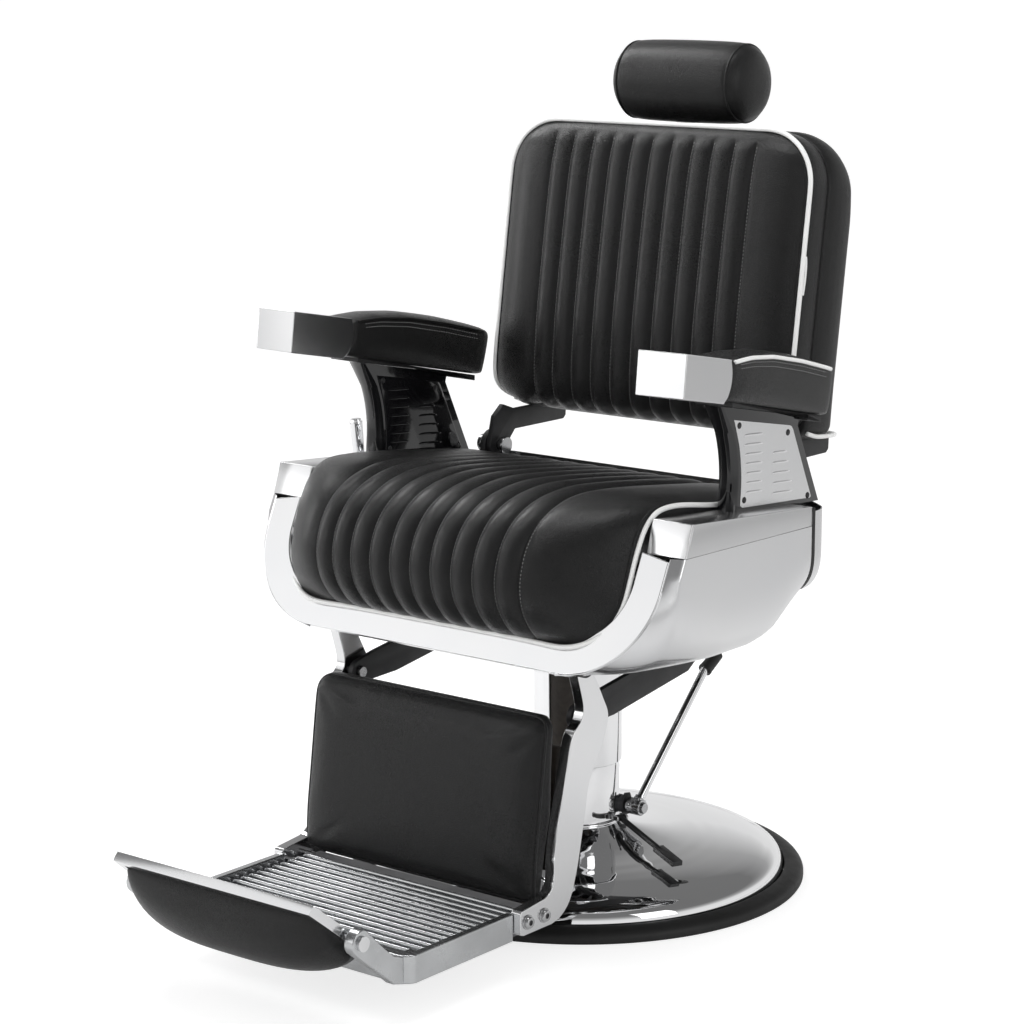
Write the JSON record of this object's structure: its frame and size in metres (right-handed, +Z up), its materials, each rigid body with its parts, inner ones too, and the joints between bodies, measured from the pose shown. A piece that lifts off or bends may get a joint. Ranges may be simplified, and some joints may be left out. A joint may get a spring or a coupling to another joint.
{
  "type": "hydraulic barber chair",
  "caption": "Hydraulic barber chair: round chrome base and lifting column, channelled black seat and backrest, armrests, headrest roll and a linked reclining leg rest.",
  "frame": {"origin": "centre of the round base, on the floor", "axes": "+Z up; the occupant faces -Y; +X is the occupant's left hand side"},
  "size_m": [0.7575, 1.095, 1.192],
  "materials": {
    "black_leather": "fine pebble-grain upholstery leatherette, semi-gloss, white welt piping",
    "chrome": "bright polished chrome plate",
    "brushed_steel": "polished stainless sheet with fine brushing",
    "cast_aluminium": "satin ribbed cast aluminium, ribs polished",
    "black_rubber": "moulded satin rubber",
    "gloss_black": "high-gloss black enamel",
    "black_powder_coat": "satin black powder coat",
    "zinc_steel": "bright zinc-plated fasteners and shafts",
    "plywood": "dark-stained birch plywood panels under the upholstery",
    "black_plastic": "moulded black plastic",
    "bronze": "bronze gland and thrust washer",
    "cast_iron": "painted cast iron"
  },
  "bodies": {
    "base": {"base_ring": "black_rubber", "base_plate": "cast_iron", "base_cover": "chrome", "base_bolts": "zinc_steel", "pump_cylinder": "cast_iron", "pump_gland": "bronze", "lower_sleeve": "chrome", "sleeve_collar": "chrome", "lever_bracket": "black_powder_coat"},
    "ram": {"piston_rod": "chrome", "piston_head": "cast_iron", "swivel_washer": "bronze"},
    "seat": {"upper_sleeve": "chrome", "mount_plate": "black_powder_coat", "seat_frame": "black_powder_coat", "hinge_ears": "black_powder_coat", "back_pivot_bolts": "zinc_steel", "leg_hangers": "black_powder_coat", "leg_pivot_bolts": "zinc_steel", "seat_board": "plywood", "seat_cushion": "black_leather", "side_panel_l": "chrome", "side_panel_r": "chrome", "side_bands": "chrome", "band_caps": "chrome", "front_trim": "chrome", "rear_cover": "chrome", "rear_gasket": "black_rubber", "arm_post_l": "gloss_black", "arm_post_r": "gloss_black", "vent_plates": "brushed_steel", "vent_screws": "black_powder_coat", "arm_caps": "chrome", "arm_pad_l": "black_leather", "arm_pad_r": "black_leather", "arm_boards": "black_plastic", "recline_cylinder": "cast_iron"},
    "recline_lever": {"recline_handle": "chrome"},
    "recline_ram": {"recline_rod": "zinc_steel"},
    "backrest": {"back_brackets": "black_powder_coat", "cross_shaft": "zinc_steel", "back_board": "plywood", "back_cushion": "black_leather", "back_shell": "black_leather", "headrest_socket": "black_plastic"},
    "headrest_post": {"headrest_stem": "chrome"},
    "headrest": {"headrest_core": "black_plastic", "headrest_pad": "black_leather"},
    "legrest": {"leg_arm_l": "chrome", "leg_arm_r": "chrome", "calf_board": "black_plastic", "calf_pad": "black_leather", "footplate": "cast_aluminium", "footplate_bolts": "zinc_steel"},
    "foot_flap": {"flap_plate": "chrome", "flap_pad": "black_leather"},
    "link": {"link_bars": "black_powder_coat"},
    "pump_lever": {"pump_lever_arm": "chrome", "pump_lever_grip": "black_rubber"},
    "lock_lever": {"lock_lever": "black_powder_coat"}
  },
  "joints": [
    {"name": "ram_lift", "type": "slide", "parent": "base", "child": "ram", "axis": [0, 0, 1], "range_m": [0, 0.16]},
    {"name": "seat_swivel", "type": "hinge", "parent": "ram", "child": "seat", "pos_m": [0, 0, 0.37], "axis": [0, 0, 1], "continuous": true},
    {"name": "back_recline", "type": "hinge", "parent": "seat", "child": "backrest", "pos_m": [0, 0.112, 0.59], "axis": [-1, 0, 0], "range_deg": [0, 36]},
    {"name": "leg_lift", "type": "hinge", "parent": "seat", "child": "legrest", "pos_m": [0, -0.284, 0.404], "axis": [-1, 0, 0], "range_deg": [0, 36]},
    {"name": "link_swing", "type": "hinge", "parent": "backrest", "child": "link", "pos_m": [0, 0.136, 0.506], "axis": [-1, 0, 0], "range_deg": [-36, 0]},
    {"name": "recline_ram_slide", "type": "slide", "parent": "seat", "child": "recline_ram", "axis": [0, 1, 0], "range_m": [-0.06, 0]},
    {"name": "recline_lever_pull", "type": "hinge", "parent": "seat", "child": "recline_lever", "pos_m": [-0.37, -0.043, 0.535], "axis": [-1, 0, 0], "range_deg": [0, 25]},
    {"name": "headrest_height", "type": "slide", "parent": "backrest", "child": "headrest_post", "axis": [0, 0.1461, 0.9893], "range_m": [0, 0.09]},
    {"name": "headrest_tilt", "type": "hinge", "parent": "headrest_post", "child": "headrest", "pos_m": [0, 0.268, 1.133], "axis": [1, 0, 0], "range_deg": [-20, 20]},
    {"name": "flap_flip", "type": "hinge", "parent": "legrest", "child": "foot_flap", "pos_m": [0, -0.7, 0.126], "axis": [1, 0, 0], "range_deg": [0, 180]},
    {"name": "pump_stroke", "type": "hinge", "parent": "base", "child": "pump_lever", "pos_m": [0.08, 0.034, 0.102], "axis": [-1, 0, 0], "range_deg": [0, 30]},
    {"name": "lock_lift", "type": "hinge", "parent": "base", "child": "lock_lever", "pos_m": [0.074, 0.006, 0.0905], "axis": [-0.4258, -0.9048, 0], "range_deg": [0, 25]}
  ],
  "couplings": [
    {"joint": "leg_lift", "follows": "back_recline", "ratio": 1},
    {"joint": "link_swing", "follows": "back_recline", "ratio": -1},
    {"joint": "recline_ram_slide", "follows": "back_recline", "m_per_rad": -0.0854}
  ]
}
